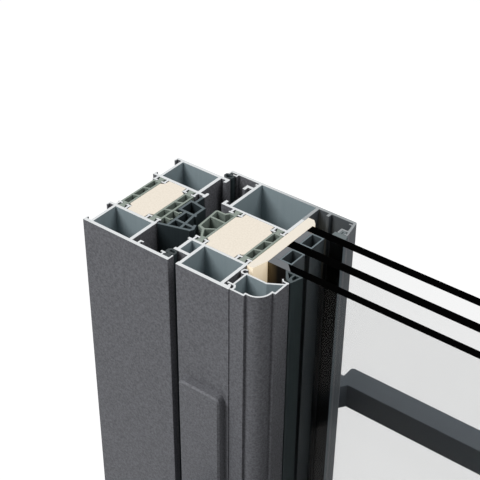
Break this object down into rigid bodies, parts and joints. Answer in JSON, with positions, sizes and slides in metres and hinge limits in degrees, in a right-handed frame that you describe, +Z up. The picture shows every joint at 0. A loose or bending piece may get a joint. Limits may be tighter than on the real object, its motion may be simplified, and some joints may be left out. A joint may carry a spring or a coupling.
{
  "type": "glazed swing door with frame, cut level above the handle",
  "caption": "Outward opening glazed swing door in its frame, of insulated two-shell aluminium profiles, cut level above the lever handle so that the profile sections show.",
  "frame": {"origin": "middle of the door's width, on the floor, on the centre line of the sill's inside foot, which is 2.1 mm outward of the inside face", "axes": "+X along the door towards its hinge side, +Y from the inside to the outside, +Z up"},
  "size_m": [1.1, 0.224, 1.233],
  "materials": {
    "coating": "fine textured dark grey powder coat",
    "polyamide": "matt glass-filled plastic",
    "foam_core": "closed-cell foam",
    "foam_strip": "closed-cell foam strip",
    "seal_rubber": "matt dark grey extruded rubber",
    "glass": "clear float glass",
    "spacer": "matt grey hollow section",
    "sealant": "matt grey sealant",
    "hardware": "satin dark grey coat",
    "hinge": "fine textured dark grey powder coat",
    "steel": "bright plated steel"
  },
  "bodies": {
    "frame": {"frame_inside_shell": "coating", "frame_outside_shell": "coating", "frame_wall_side_bars": "polyamide", "frame_rebate_bars": "polyamide", "frame_foam_core": "foam_core", "centre_gasket": "seal_rubber", "frame_stop_gasket": "seal_rubber", "hinge_frame_plates": "hinge", "hinge_pins": "steel"},
    "leaf": {"leaf_inside_shell": "coating", "leaf_outside_shell": "coating", "leaf_rebate_bars": "polyamide", "leaf_glazing_bars": "polyamide", "leaf_foam_core": "foam_core", "leaf_stop_gasket": "seal_rubber", "glazing_bead": "coating", "bead_gasket": "seal_rubber", "outside_glazing_gasket": "seal_rubber", "glazing_foam_strip": "foam_strip", "inside_pane": "glass", "middle_pane": "glass", "outside_pane": "glass", "inside_spacer": "spacer", "outside_spacer": "spacer", "inside_edge_sealant": "sealant", "outside_edge_sealant": "sealant", "pane_edge_packer": "sealant", "inside_escutcheon": "hardware", "outside_escutcheon": "hardware", "lock_cylinder": "steel", "hinge_leaf_plates": "hinge"},
    "handle": {"inside_lever": "hardware", "outside_lever": "hardware", "spindle": "steel"}
  },
  "joints": [
    {"name": "leaf_hinge", "type": "hinge", "parent": "frame", "child": "leaf", "pos_m": [0.523, 0.1099, 0.6], "axis": [0, 0, -1], "range_deg": [0, 100]},
    {"name": "handle_turn", "type": "hinge", "parent": "leaf", "child": "handle", "pos_m": [-0.4543, 0.0489, 1.05], "axis": [0, 1, 0], "range_deg": [0, 40], "stiffness_Nm_per_rad": 1.5, "springref_deg": -20.05}
  ]
}
